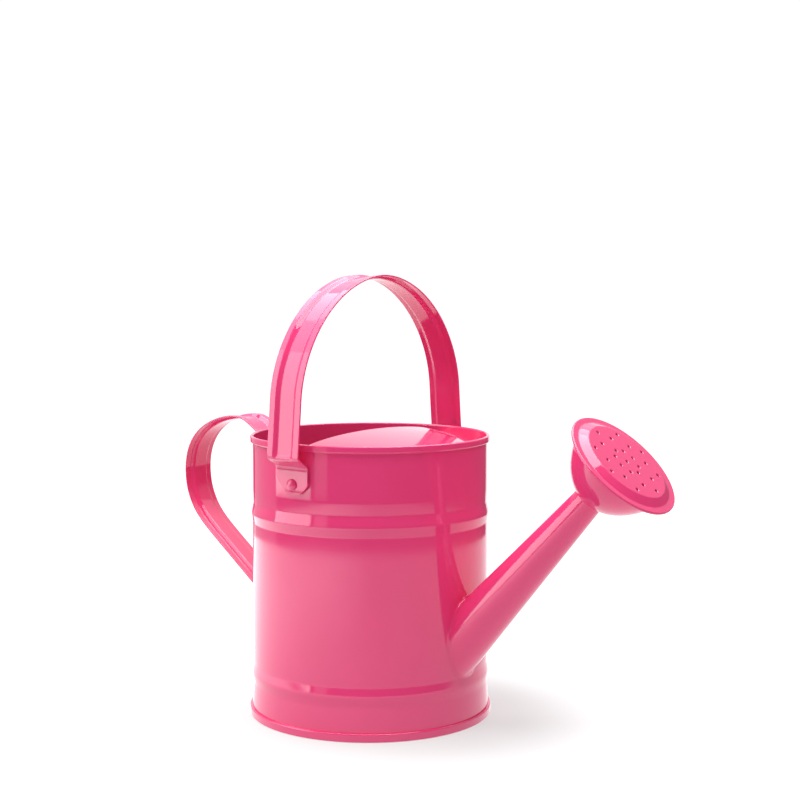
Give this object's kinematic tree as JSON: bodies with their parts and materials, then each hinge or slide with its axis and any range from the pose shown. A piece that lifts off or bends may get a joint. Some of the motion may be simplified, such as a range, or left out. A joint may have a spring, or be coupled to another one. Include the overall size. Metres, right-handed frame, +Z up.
{
  "type": "watering can",
  "caption": "Small painted sheet-metal watering can with a swinging bail handle, a rear loop handle, a half splash cover and a tapered spout that ends in a round perforated rose.",
  "frame": {"origin": "on the ground under the middle of the whole object; the can's own upright axis passes through X = -0.0244", "axes": "+Z up, +X towards the spout and its rose, the bail handle's hinge along Y"},
  "size_m": [0.3201, 0.1502, 0.2462],
  "materials": {
    "bail_handle": "gloss",
    "bail_rivet_left": "gloss",
    "bail_rivet_right": "gloss",
    "base_plate": "gloss",
    "body_wall": "gloss",
    "rear_handle": "gloss",
    "rose_bowl": "gloss",
    "rose_face": "gloss",
    "splash_cover": "gloss",
    "spout_seam": "gloss",
    "spout_tube": "gloss"
  },
  "bodies": {
    "can": {"bail_rivet_left": "bail_rivet_left", "bail_rivet_right": "bail_rivet_right", "base_plate": "base_plate", "body_wall": "body_wall", "rear_handle": "rear_handle", "rose_bowl": "rose_bowl", "rose_face": "rose_face", "splash_cover": "splash_cover", "spout_seam": "spout_seam", "spout_tube": "spout_tube"},
    "bail": {"bail_handle": "bail_handle"}
  },
  "joints": [
    {"name": "bail_pivot", "type": "hinge", "parent": "can", "child": "bail", "pos_m": [-0.0244, 0, 0.1353], "axis": [0, 1, 0], "range_deg": [-68.5, 95.5]}
  ]
}
